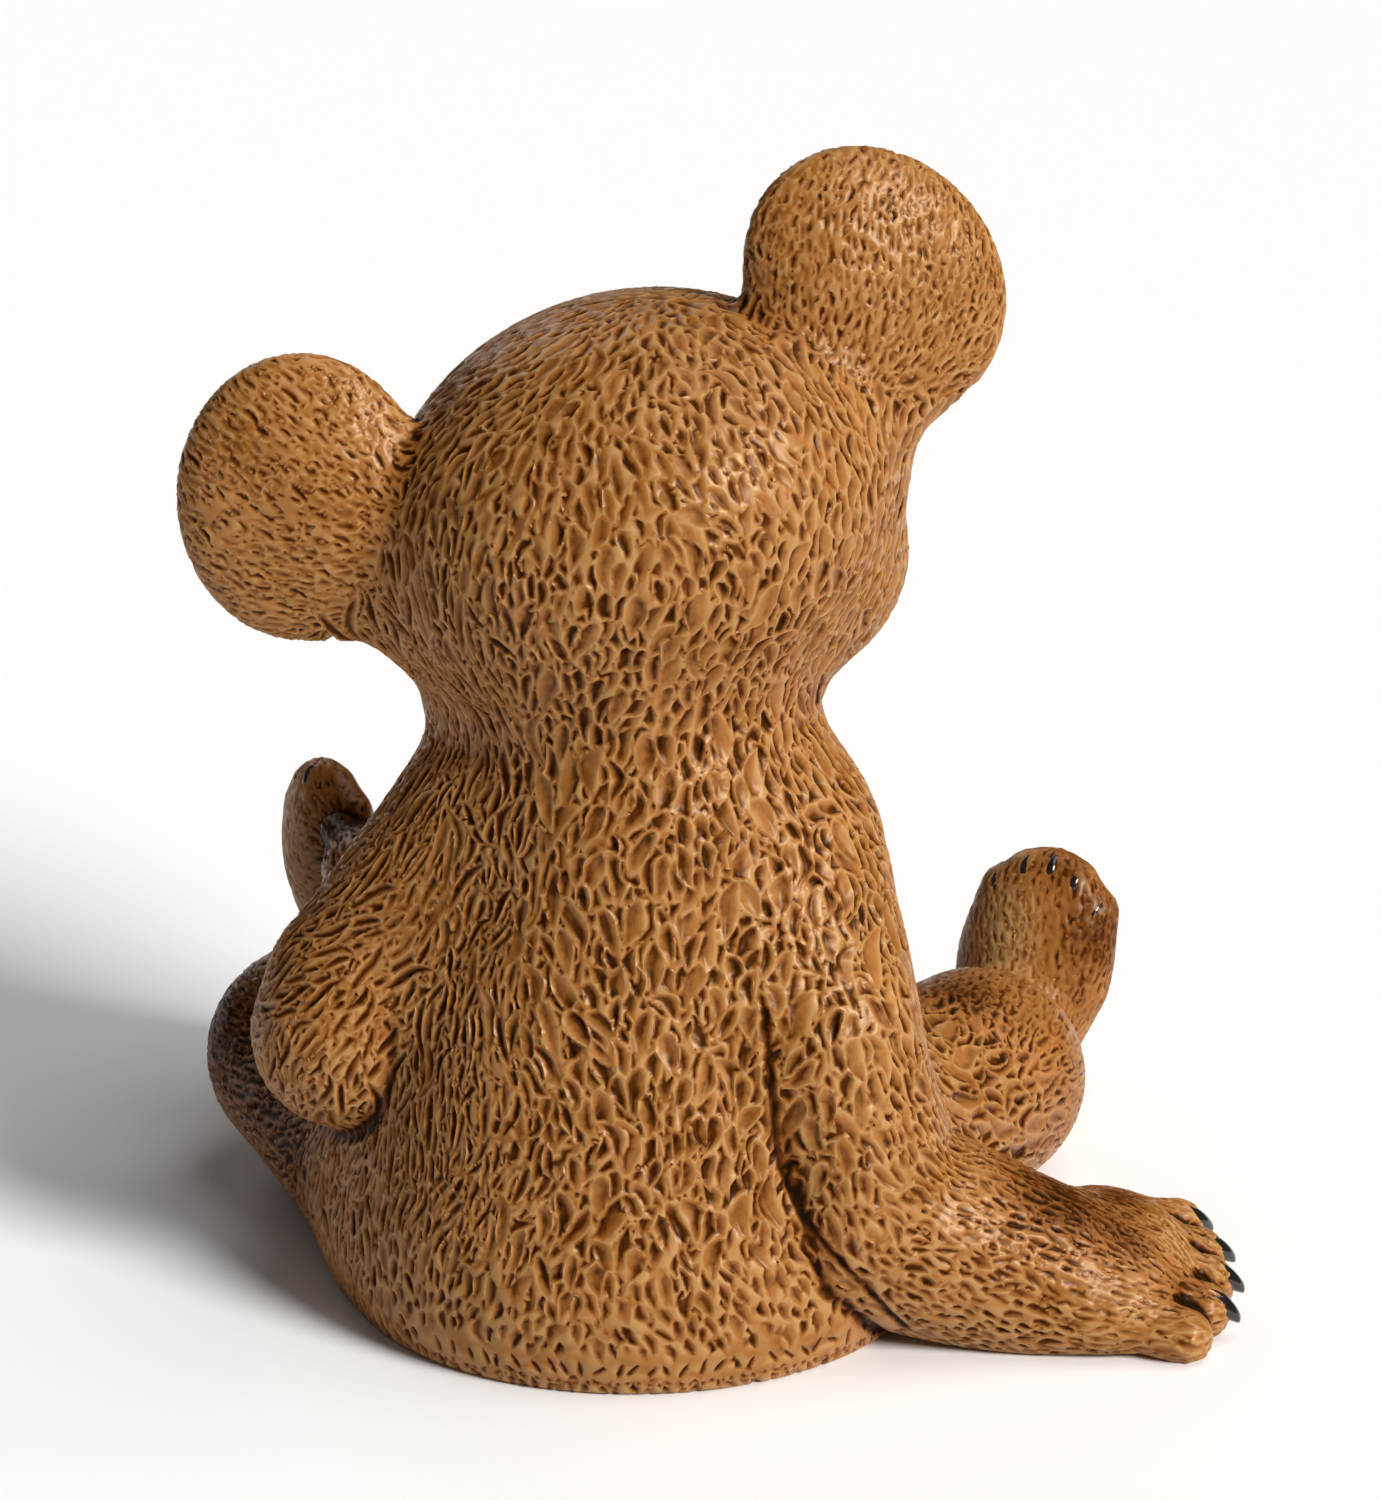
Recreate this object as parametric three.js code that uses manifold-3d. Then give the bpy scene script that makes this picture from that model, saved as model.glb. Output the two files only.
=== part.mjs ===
// A seated bear cub, cast in one piece of resin. It faces +Y, its right hand is on the +X side,
// and it sits on the plane z = 0. Millimetres.
//
// The form is a field of rounded blobs that run into each other. A net of cells turns the field
// into a mesh, locks of fur are raised on it, and the mesh is thinned to the number of triangles
// that the part can carry. Then the base is cut flat and the claws, eyes and nose are joined on.

import * as THREE from 'three';
import { mergeVertices } from 'three/addons/utils/BufferGeometryUtils.js';
import Module from 'manifold-3d';

const { PI, sin, sqrt, abs, max, min, hypot, sign, floor, ceil } = Math;

// Driving dimensions.
const NET_CELL = 1.9;
const NET_LOW = [-75, -52, -6];
const NET_HIGH = [86, 84, 168];
const GAP_FILL = -0.05;
const BODY_TRIANGLES = 8200;
const LOCK_LENGTH = 13;
const LOCK_WIDTH = 7;
const LOCK_DEPTH = 1.3;
const LOCK_OVERLAP = 0.78;
const LOCK_EDGE = 0.5;
const TOE_RADIUS_SHARE = 0.13;
const TOE_DROP = 1;
const CLAW_TAPER = 0.55;
const CLAW_HOOK = 0.35;
const CLAW_SUNK = 0.3;
const CLAW_TALLER = 1.15;
const EYE_RADIUS = 3.4;
const EYE_SUNK = 0.45;
const EYE_SPACING = 12.5;
const EYE_HEIGHT = 5;
const NOSE_WIDTH = 14;
const NOSE_WIDENING = 0.25;
const NOSE_DEPTH = 8;
const NOSE_SUNK = 0.3;
const NOSE_TILT = 1.5;
const NOSE_TALL = 9;
const NOSE_HEIGHT = -4;
const TABLE_SIZE = 400;
const TABLE_THICK = 60;
const SHELL_COLOUR = '#a06c33';

// Vectors are plain arrays of three numbers.
const add = (a, b) => [a[0] + b[0], a[1] + b[1], a[2] + b[2]];
const sub = (a, b) => [a[0] - b[0], a[1] - b[1], a[2] - b[2]];
const scale = (a, s) => [a[0] * s, a[1] * s, a[2] * s];
const mix = (a, b, t) => add(a, scale(sub(b, a), t));
const dot = (a, b) => a[0] * b[0] + a[1] * b[1] + a[2] * b[2];
const cross = (a, b) => [
  a[1] * b[2] - a[2] * b[1],
  a[2] * b[0] - a[0] * b[2],
  a[0] * b[1] - a[1] * b[0],
];
const unit = (a) => scale(a, 1 / (hypot(...a) || 1));
const ramp = (v, low, high) => min(max((v - low) / (high - low), 0), 1);

// A frame is an origin and three axes at right angles. aim() turns a direction out of it,
// and place() a point.
function frameTurned(origin, degrees) {
  const turn = new THREE.Euler(...degrees.map((d) => (d * PI) / 180), 'ZYX');
  const m = new THREE.Matrix4().makeRotationFromEuler(turn).elements;
  return { origin, axes: [m.slice(0, 3), m.slice(4, 7), m.slice(8, 11)] };
}

function frameAlong(origin, forward, up) {
  const y = unit(forward);
  const x = unit(cross(y, up));
  return { origin, axes: [x, y, cross(x, y)] };
}

function aim({ axes: [x, y, z] }, v) {
  return add(add(scale(x, v[0]), scale(y, v[1])), scale(z, v[2]));
}

const place = (frame, p) => add(frame.origin, aim(frame, p));
const WORLD = frameTurned([0, 0, 0], [0, 0, 0]);

// The distance from a point to an egg with three half-widths, in a frame and turned in it.
function egg(at, size, frame = WORLD, turn = [0, 0, 0]) {
  const centre = place(frame, at);
  const [ax, ay, az] = frameTurned(WORLD.origin, turn).axes.map((a) => aim(frame, a));
  return (p) => {
    const from = sub(p, centre);
    const u = [dot(from, ax) / size[0], dot(from, ay) / size[1], dot(from, az) / size[2]];
    const near = hypot(u[0], u[1], u[2]);
    const steep = hypot(u[0] / size[0], u[1] / size[1], u[2] / size[2]);
    return near < 1e-6 ? -min(...size) : (near * (near - 1)) / steep;
  };
}

// The distance from a point to a limb that is round at both ends, with a radius for each end.
function limb(start, startRadius, end, endRadius) {
  const axis = sub(end, start);
  const long = dot(axis, axis);
  const taper = startRadius - endRadius;
  const cone = long - taper * taper;
  return (p) => {
    const from = sub(p, start);
    const along = dot(from, axis);
    const past = along - long;
    const off = sub(scale(from, long), scale(axis, along));
    const side = dot(off, off);
    const limit = sign(taper) * taper * taper * side;
    const beyond = past * past * long;
    const before = along * along * long;
    if (sign(past) * cone * beyond > limit) return sqrt(side + beyond) / long - endRadius;
    if (sign(along) * cone * before < limit) return sqrt(side + before) / long - startRadius;
    return (sqrt((side * cone) / long) + along * taper) / long - startRadius;
  };
}

// The form, in the order in which it is built up. Each shape runs into what is there already
// over its blend, and a carved one is taken away.
const form = [];

function join(blend, shape) {
  form.push({ shape, blend, carved: false });
}

function carve(blend, shape) {
  form.push({ shape, blend, carved: true });
}

function field(p) {
  let d = 1e3;
  for (const { shape, blend, carved } of form) {
    const e = carved ? -shape(p) : shape(p);
    const h = max(blend - abs(d - e), 0) / blend;
    const bulge = (h * h * blend) / 4;
    d = carved ? max(d, e) + bulge : min(d, e) - bulge;
  }
  return d;
}

function slope(p) {
  const step = 0.2;
  return unit([
    field([p[0] + step, p[1], p[2]]) - field([p[0] - step, p[1], p[2]]),
    field([p[0], p[1] + step, p[2]]) - field([p[0], p[1] - step, p[2]]),
    field([p[0], p[1], p[2] + step]) - field([p[0], p[1], p[2] - step]),
  ]);
}

// The bear's own frames.
const HEAD = frameTurned([-1, 5, 106], [-6, -19, 8]);
const RIGHT_HAND = frameAlong([51, -15.5, 8], [1, 0, -0.08], [0.05, -0.22, 1]);
const RIGHT_FOOT = frameAlong([52.5, 60, 4], [0.19, 0.1, 0.97], [-0.35, -0.93, 0.1]);
const LEFT_FOOT = frameAlong([-42.6, 64, 19], [-0.17, 0.03, 1], [-0.82, -0.55, 0.12]);
const LEFT_HAND = frameAlong([-37.5, 37, 38], [-0.06, 1, 0.05], [0.75, -0.1, 0.65]);
const SIDES = [-1, 1];

function trunk() {
  join(10, egg([-1.5, -2, 9], [41, 39.8, 30]));
  join(14, egg([-1, 1, 34], [37.5, 36, 32]));
  join(14, egg([-0.5, 1, 61], [26, 27, 29]));
  join(10, limb([0, 0, 72], 22, [-1, 3, 88], 22.5));
}

function head() {
  const own = (p, size, turn) => egg(p, size, HEAD, turn);
  join(8, own([0, -2, 2.2], [35.5, 31, 28]));
  join(8, own([0, 13, 9], [25, 19, 18]));
  for (const side of SIDES) join(8, own([side * 17.5, 7, -13.5], [16, 17, 15]));
  join(7, own([0, 27, -8.5], [15, 19, 11.5]));
  join(4, own([0, 25, -16.5], [10.5, 14, 7.5]));
  for (const side of SIDES) join(6, own([side * 11, 24, 12], [8, 7, 6]));
}

function ears() {
  for (const side of SIDES) {
    const own = (p, size) => egg(p, size, HEAD, [0, -side * 22, side * 8]);
    join(4, own([side * 40.2, -3, 20], [16.5, 6.2, 19.5]));
    join(8, egg([side * 32.5, -2, 10], [9, 7, 17], HEAD, [0, side * 14, 0]));
    carve(2, own([side * 41.5, 5, 21], [12.5, 6, 14.5]));
  }
}

function rightArm() {
  join(8, limb([17, -3, 63], 14.5, [22.5, -16, 44], 13.8));
  join(1.2, limb([23, -18, 42], 13.5, [28, -20, 20], 14.5));
  join(1.2, limb([28, -19, 18], 15, [52, -18, 8], 12.5));
}

function leftArm() {
  join(8, limb([-20, 0, 64], 15, [-38, -4, 44], 12.5));
  join(2, limb([-38.5, -5, 43], 12.5, [-40, -6, 38], 12.8));
  join(2, limb([-40, -6, 38], 12.5, [-38, 34, 34], 10));
}

function legs() {
  join(8, limb([24, 6, 12], 18.5, [46.3, 35, 14.2], 15.5));
  join(3, limb([46, 35, 11], 12, [51.5, 58, 11], 9.5));
  join(8, limb([-26, 4, 12], 19.5, [-46.8, 36, 17.4], 15.3));
  join(4, limb([-46.5, 36, 17.5], 13.5, [-41, 62, 21], 9));
}

// A paw in its frame: a palm, five toes side by side along +Y, and claws over the toes' tips.
const claws = [];

function paw(frame, { length, width, thick, palm, clawed, claw, spread, blend }) {
  const toeRadius = width * TOE_RADIUS_SHARE;
  join(4, egg([0, length * palm.at, 0], [width * 0.5, length * palm.long, thick], frame));
  clawed.forEach((hasClaw, i) => {
    const share = (i - 2) / 2;
    const root = [share * width * 0.32, length * 0.5, 0];
    const tip = [share * width * spread, length * (0.98 - 0.14 * share * share), -TOE_DROP];
    join(blend, limb(place(frame, root), toeRadius, place(frame, tip), toeRadius));
    if (!hasClaw) return;
    const nailBed = add(tip, [0, toeRadius * claw.ahead, toeRadius * claw.above]);
    claws.push({ frame, at: nailBed, lean: share * 0.3, ...claw });
  });
}

function paws() {
  const all = [true, true, true, true, true];
  const nearestBare = [true, true, true, true, false];
  const hooked = { long: 6.2, wide: 2.1, rise: 0, ahead: 0.35, above: 0.45 };
  const flat = { long: 4.2, wide: 1.4, rise: -8, ahead: 0.15, above: 1.15 };
  const hand = { palm: { at: 0.42, long: 0.52 }, spread: 0.4, blend: 1.5 };
  const foot = { palm: { at: 0.53, long: 0.47 }, spread: 0.33, blend: 3, clawed: all, claw: flat };
  paw(RIGHT_HAND, { ...hand, length: 25, width: 31, thick: 8.5, clawed: nearestBare, claw: hooked });
  paw(RIGHT_FOOT, { ...foot, length: 32, width: 22.5, thick: 7 });
  paw(LEFT_FOOT, { ...foot, length: 30, width: 19.5, thick: 6.2 });
  const slender = { ...hooked, long: 5, wide: 1.5 };
  paw(LEFT_HAND, { ...hand, length: 22, width: 19, thick: 7, clawed: all, claw: slender });
}

// Nothing is needed far below the plane that the bear sits on.
function ground() {
  carve(0.1, (p) => p[2] + 2);
}

trunk();
rightArm();
leftArm();
legs();
head();
ears();
paws();
ground();

// The corners of a cell, numbered by bits for x, y and z, and the edges between them.
const CORNERS = [0, 1, 2, 3, 4, 5, 6, 7].map((c) => [c & 1, (c >> 1) & 1, c >> 2]);
const EDGES = CORNERS.flatMap((_, a) => [1, 2, 4].filter((bit) => !(a & bit)).map((bit) => [a, a | bit]));

// Two sheets of the surface cross a cell where its inner or its outer corners don't hang together,
// or where the corners of one face are inner and outer by turns.
function crossedTwice(inner) {
  const faces = [[0, 1, 3, 2], [4, 5, 7, 6], [0, 1, 5, 4], [2, 3, 7, 6], [0, 2, 6, 4], [1, 3, 7, 5]];
  if (faces.some((f) => f.every((c, i) => inner[c] !== inner[f[(i + 1) % 4]]))) return true;
  for (const side of [true, false]) {
    const own = CORNERS.map((_, c) => c).filter((c) => inner[c] === side);
    const reached = new Set(own.slice(0, 1));
    for (let pass = 0; pass < 4; pass++) {
      for (const [a, b] of EDGES) {
        if (inner[a] !== side || inner[b] !== side) continue;
        if (reached.has(a) || reached.has(b)) reached.add(a).add(b);
      }
    }
    if (reached.size < own.length) return true;
  }
  return false;
}

// Fills gaps that are thinner than a cell, so that one sheet at most crosses each cell.
function fillNarrowGaps(values, cells, cornerIndex) {
  const known = new Map();
  for (let filled = true; filled; ) {
    filled = false;
    for (const cell of cells) {
      const at = cornerIndex(cell);
      const inner = at.map((i) => values[i] < 0);
      const key = inner.reduce((bits, v, c) => bits + (v ? 1 << c : 0), 0);
      if (!known.has(key)) known.set(key, crossedTwice(inner));
      if (!known.get(key)) continue;
      const nearest = at.filter((i) => values[i] >= 0).reduce((m, i) => (values[i] < values[m] ? i : m));
      values[nearest] = GAP_FILL;
      filled = true;
    }
  }
}

// One vertex in each cell that the surface crosses, and one quad for each crossed edge.
function net(low, high, cell) {
  const count = low.map((l, i) => ceil((high[i] - l) / cell) + 1);
  const index = (i, j, k) => i + count[0] * (j + count[1] * k);
  const cornerIndex = ([i, j, k]) => CORNERS.map(([a, b, c]) => index(i + a, j + b, k + c));
  const values = new Float32Array(count[0] * count[1] * count[2]);
  const cells = [];
  for (let k = 0; k < count[2]; k++)
    for (let j = 0; j < count[1]; j++)
      for (let i = 0; i < count[0]; i++) {
        const value = field(add(low, scale([i, j, k], cell)));
        values[index(i, j, k)] = value;
        const within = i + 1 < count[0] && j + 1 < count[1] && k + 1 < count[2];
        if (within && abs(value) < 3 * cell) cells.push([i, j, k]);
      }
  fillNarrowGaps(values, cells, cornerIndex);

  const vertexOf = new Map();
  const points = [];
  for (const [i, j, k] of cells) {
    const at = cornerIndex([i, j, k]).map((v) => values[v]);
    const crossed = EDGES.filter(([a, b]) => at[a] < 0 !== at[b] < 0);
    if (!crossed.length) continue;
    let sum = [0, 0, 0];
    for (const [a, b] of crossed) sum = add(sum, mix(CORNERS[a], CORNERS[b], at[a] / (at[a] - at[b])));
    vertexOf.set(index(i, j, k), points.length);
    points.push(add(low, scale(add([i, j, k], scale(sum, 1 / crossed.length)), cell)));
  }

  const triangles = [];
  const step = [1, count[0], count[0] * count[1]];
  for (let k = 1; k + 1 < count[2]; k++)
    for (let j = 1; j + 1 < count[1]; j++)
      for (let i = 1; i + 1 < count[0]; i++)
        for (let axis = 0; axis < 3; axis++) {
          const here = index(i, j, k);
          const inside = values[here] < 0;
          if (inside === values[here + step[axis]] < 0) continue;
          const u = step[(axis + 1) % 3];
          const v = step[(axis + 2) % 3];
          const quad = [here - u - v, here - v, here, here - u].map((c) => vertexOf.get(c));
          if (!inside) quad.reverse();
          const across = (a, b) => hypot(...sub(points[quad[a]], points[quad[b]]));
          const [a, b, c, d] = across(0, 2) < across(1, 3) ? quad : [...quad.slice(1), quad[0]];
          triangles.push([a, b, c], [a, c, d]);
        }
  return { points, triangles };
}

// Fur grows down the trunk and head, and along the limbs towards the paws.
const GROWTH = [
  { from: [0, 0, 120], to: [0, -6, 10], reach: 34 },
  { from: [19, -2, 64], to: [26, -13, 28], reach: 17 },
  { from: [28, -13, 24], to: [60, -16, 8], reach: 20 },
  { from: [-20, 0, 64], to: [-44, -4, 36], reach: 15 },
  { from: [-41, -3, 36], to: [-38, 40, 40], reach: 13 },
  { from: [24, 6, 20], to: [46, 36, 15], reach: 15 },
  { from: [46, 36, 15], to: [54, 60, 10], reach: 13 },
  { from: [-25, 6, 20], to: [-48, 36, 17], reach: 15 },
  { from: [-48, 36, 17], to: [-47, 64, 24], reach: 12 },
];

function growth(p) {
  let sum = [0, 0, 0];
  for (const { from, to, reach } of GROWTH) {
    const axis = sub(to, from);
    const t = min(max(dot(sub(p, from), axis) / dot(axis, axis), 0), 1);
    const off = hypot(...sub(p, mix(from, to, t))) / reach;
    sum = add(sum, scale(unit(axis), 1 / (1 + off ** 8)));
  }
  return unit(sum);
}

// A lasting random number from 0 to 1 for each place in a grid.
function chance(i, j, k, salt) {
  const v = sin(i * 127.1 + j * 311.7 + k * 74.7 + salt * 53.3) * 43758.5453;
  return v - floor(v);
}

// Locks of fur: each has a seed in a jittered grid, and is as long as its growth is strong.
const lockCell = sqrt(LOCK_LENGTH * LOCK_WIDTH) * LOCK_OVERLAP;
const lockSeeds = new Map();

function lockSeed(i, j, k) {
  const key = `${i},${j},${k}`;
  if (!lockSeeds.has(key)) {
    const at = [i, j, k].map((v, axis) => (v + chance(i, j, k, axis)) * lockCell);
    lockSeeds.set(key, { at, way: growth(at) });
  }
  return lockSeeds.get(key);
}

function lockHeight(p) {
  const [i, j, k] = p.map((v) => floor(v / lockCell));
  let first = Infinity;
  let second = Infinity;
  for (let a = i - 2; a <= i + 2; a++)
    for (let b = j - 2; b <= j + 2; b++)
      for (let c = k - 2; c <= k + 2; c++) {
        const { at, way } = lockSeed(a, b, c);
        const from = sub(p, at);
        const along = dot(from, way);
        const across = sqrt(max(dot(from, from) - along * along, 0));
        const far = hypot(along / LOCK_LENGTH, across / LOCK_WIDTH) * 2;
        second = min(second, max(far, first));
        first = min(first, far);
      }
  return ramp(second - first, 0, LOCK_EDGE) - LOCK_EDGE;
}

// Bare places: the ears, the face, the paws and what the bear sits on.
function furriness(p) {
  let fur = ramp(p[2], 1, 6);
  for (const side of SIDES) {
    const ear = place(HEAD, [side * 43, 0, 21]);
    fur *= ramp(hypot(...sub(p, ear)), 17, 23);
  }
  fur *= ramp(hypot(...sub(p, place(HEAD, [0, 34, -8]))), 22, 34);
  for (const { origin, axes } of [RIGHT_HAND, RIGHT_FOOT, LEFT_FOOT, LEFT_HAND]) {
    fur *= ramp(hypot(...sub(p, add(origin, scale(axes[1], 17)))), 14, 22);
  }
  return fur;
}

function furredBody() {
  const { points, triangles } = net(NET_LOW, NET_HIGH, NET_CELL);
  const raised = points.map((p) => {
    const way = slope(p);
    const onSurface = sub(p, scale(way, field(p)));
    return add(onSurface, scale(way, LOCK_DEPTH * furriness(onSurface) * lockHeight(onSurface)));
  });
  return thin(raised, triangles, BODY_TRIANGLES);
}

// Thins a mesh by drawing edges together, the ones that change the shape least first. Each
// vertex carries the sum of its faces' planes as ten numbers.
function planeSums(points, triangles) {
  const sums = points.map(() => new Float64Array(10));
  for (const t of triangles) {
    const [a, b, c] = t.map((v) => points[v]);
    const across = cross(sub(b, a), sub(c, a));
    const area = hypot(...across);
    const n = unit(across);
    const plane = [...n, -dot(n, a)];
    let at = 0;
    for (let i = 0; i < 4; i++)
      for (let j = i; j < 4; j++) {
        for (const v of t) sums[v][at] += plane[i] * plane[j] * area;
        at++;
      }
  }
  return sums;
}

function planeCost(q, [x, y, z]) {
  return (
    q[0] * x * x + 2 * q[1] * x * y + 2 * q[2] * x * z + 2 * q[3] * x +
    q[4] * y * y + 2 * q[5] * y * z + 2 * q[6] * y + q[7] * z * z + 2 * q[8] * z + q[9]
  );
}

function meetingPoint(q, a, b) {
  const columns = [[q[0], q[1], q[2]], [q[1], q[4], q[5]], [q[2], q[5], q[7]]];
  const right = [-q[3], -q[6], -q[8]];
  const size = dot(columns[0], cross(columns[1], columns[2]));
  const middle = mix(a, b, 0.5);
  if (abs(size) > 1e-3 * (q[0] + q[4] + q[7]) ** 3) {
    const best = [
      dot(right, cross(columns[1], columns[2])) / size,
      dot(columns[0], cross(right, columns[2])) / size,
      dot(columns[0], cross(columns[1], right)) / size,
    ];
    if (hypot(...sub(best, middle)) < hypot(...sub(a, b))) return best;
  }
  return middle;
}

function thin(points, triangles, target) {
  const sums = planeSums(points, triangles);
  const facesOf = points.map(() => new Set());
  triangles.forEach((t, f) => t.forEach((v) => facesOf[v].add(f)));
  const changed = new Uint32Array(points.length);
  const heap = [];

  const swap = (i, j) => ([heap[i], heap[j]] = [heap[j], heap[i]]);
  function push(item) {
    let i = heap.push(item) - 1;
    while (i && heap[i].cost < heap[(i - 1) >> 1].cost) {
      swap(i, (i - 1) >> 1);
      i = (i - 1) >> 1;
    }
  }
  function pop() {
    const top = heap[0];
    const last = heap.pop();
    if (heap.length) heap[0] = last;
    for (let i = 0; ; ) {
      const children = [2 * i + 1, 2 * i + 2].filter((c) => c < heap.length);
      const least = children.reduce((m, c) => (heap[c].cost < heap[m].cost ? c : m), i);
      if (least === i) return top;
      swap(i, least);
      i = least;
    }
  }

  const neighbours = (v) => new Set([...facesOf[v]].flatMap((f) => triangles[f]).filter((w) => w !== v));
  function offer(a, b) {
    const sum = sums[a].map((s, i) => s + sums[b][i]);
    const at = meetingPoint(sum, points[a], points[b]);
    const short = dot(sub(points[a], points[b]), sub(points[a], points[b]));
    push({ cost: planeCost(sum, at) + short * 1e-3, a, b, at, stamp: changed[a] + changed[b] });
  }
  for (let v = 0; v < points.length; v++) for (const w of neighbours(v)) if (v < w) offer(v, w);

  function turnsOver(v, other, at) {
    for (const f of facesOf[v]) {
      if (triangles[f].includes(other)) continue;
      const before = triangles[f].map((w) => points[w]);
      const after = triangles[f].map((w) => (w === v ? at : points[w]));
      const n = unit(cross(sub(before[1], before[0]), sub(before[2], before[0])));
      const m = cross(sub(after[1], after[0]), sub(after[2], after[0]));
      const longest = max(...after.map((q, i) => hypot(...sub(q, after[(i + 1) % 3]))));
      if (dot(n, m) < 0.35 * hypot(...m) || hypot(...m) < 0.12 * longest * longest) return true;
    }
    return false;
  }

  let left = triangles.length;
  while (left > target && heap.length) {
    const { a, b, at, stamp } = pop();
    if (!facesOf[a].size || !facesOf[b].size || stamp !== changed[a] + changed[b]) continue;
    const around = neighbours(b);
    const shared = [...neighbours(a)].filter((w) => around.has(w));
    if (shared.length !== 2 || turnsOver(a, b, at) || turnsOver(b, a, at)) continue;
    points[a] = at;
    sums[a] = sums[a].map((s, i) => s + sums[b][i]);
    for (const f of facesOf[b]) {
      if (triangles[f].includes(a)) {
        triangles[f].forEach((w) => w !== b && facesOf[w].delete(f));
        left--;
      } else {
        triangles[f] = triangles[f].map((w) => (w === b ? a : w));
        facesOf[a].add(f);
      }
    }
    facesOf[b] = new Set();
    changed[a]++;
    for (const w of neighbours(a)) offer(a, w);
  }

  const kept = new Map();
  const faces = new Set(facesOf.flatMap((s) => [...s]));
  const thinned = { points: [], triangles: [] };
  for (const f of faces) {
    thinned.triangles.push(triangles[f].map((v) => {
      if (!kept.has(v)) kept.set(v, thinned.points.push(points[v]) - 1);
      return kept.get(v);
    }));
  }
  return thinned;
}

// Solids for joining and cutting.
const wasm = await Module();
wasm.setup();

function solid(geometry) {
  geometry.deleteAttribute('normal');
  geometry.deleteAttribute('uv');
  const merged = mergeVertices(geometry, 1e-4);
  const vertProperties = new Float32Array(merged.attributes.position.array);
  const triVerts = new Uint32Array(merged.index.array);
  return new wasm.Manifold(new wasm.Mesh({ numProp: 3, vertProperties, triVerts }));
}

function meshGeometry(points, triangles) {
  const geometry = new THREE.BufferGeometry();
  geometry.setAttribute('position', new THREE.BufferAttribute(new Float32Array(points.flat()), 3));
  geometry.setIndex(triangles.flat());
  return geometry;
}

// A ball whose points are moved one by one, for a claw, an eye or the nose.
function warpedBall(around, along, move) {
  const ball = new THREE.SphereGeometry(1, around, along);
  const points = ball.attributes.position;
  for (let i = 0; i < points.count; i++) {
    points.setXYZ(i, ...move([points.getX(i), points.getY(i), points.getZ(i)]));
  }
  return ball;
}

// A claw rises from its toe by some degrees out of +Y, tapers to a blunt tip and hooks down.
function clawGeometry({ frame, at, long, wide, lean, rise }) {
  const turned = frameTurned(at, [rise, 0, 0]);
  return warpedBall(6, 4, ([x, y, z]) => {
    const t = (y + 1) / 2;
    const thick = wide * (1 - CLAW_TAPER * t);
    const hook = CLAW_HOOK * long * t * t;
    const ahead = long * (t - CLAW_SUNK);
    return place(frame, place(turned, [x * thick + lean * ahead, ahead, z * thick * CLAW_TALLER - hook]));
  });
}

// The point of the face that lies straight ahead of a place in the head.
function onFace(x, z) {
  let y = 60;
  while (field(place(HEAD, [x, y, z])) > 0) y -= 0.1;
  return [x, y, z];
}

function eyeGeometry(side) {
  const [x, y, z] = onFace(side * EYE_SPACING, EYE_HEIGHT);
  const centre = [x, y - EYE_RADIUS * EYE_SUNK, z];
  return warpedBall(12, 8, (p) => place(HEAD, add(centre, scale(p, EYE_RADIUS))));
}

function noseGeometry() {
  const [, tip] = onFace(0, NOSE_HEIGHT);
  return warpedBall(12, 8, ([x, y, z]) => {
    const wide = (NOSE_WIDTH / 2) * (1 + NOSE_WIDENING * y);
    const ahead = tip - NOSE_DEPTH * NOSE_SUNK - (z * NOSE_DEPTH) / 2 - y * NOSE_TILT;
    return place(HEAD, [x * wide, ahead, NOSE_HEIGHT + (y * NOSE_TALL) / 2]);
  });
}

function cast() {
  const { points, triangles } = furredBody();
  const slab = new THREE.BoxGeometry(TABLE_SIZE, TABLE_SIZE, TABLE_THICK);
  const table = solid(slab.translate(0, 0, -TABLE_THICK / 2));
  let whole = solid(meshGeometry(points, triangles)).subtract(table);
  for (const claw of claws) whole = whole.add(solid(clawGeometry(claw)));
  for (const side of SIDES) whole = whole.add(solid(eyeGeometry(side)));
  whole = whole.add(solid(noseGeometry()));
  const { vertProperties, triVerts } = whole.getMesh();
  const geometry = new THREE.BufferGeometry();
  geometry.setAttribute('position', new THREE.BufferAttribute(vertProperties, 3));
  geometry.setIndex(new THREE.BufferAttribute(triVerts, 1));
  geometry.computeVertexNormals();
  return geometry;
}

const painted = new THREE.MeshStandardMaterial({ color: SHELL_COLOUR, roughness: 0.5, metalness: 0 });
const bear = new THREE.Mesh(cast(), painted);
bear.name = 'bear';

const figurine = new THREE.Group();
figurine.add(bear);

export default figurine;
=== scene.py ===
"""A seated bear cub, cast in resin and painted, seen from behind.

The form is put together from eggs and round limbs, melted into one skin, and scooped all over
with the strokes of its fur. The sizes below are millimetres, and the meshes are in metres.
"""

import math

import bmesh
import bpy
import numpy as np
from mathutils import Euler, Matrix, Vector
from mathutils.kdtree import KDTree


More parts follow.
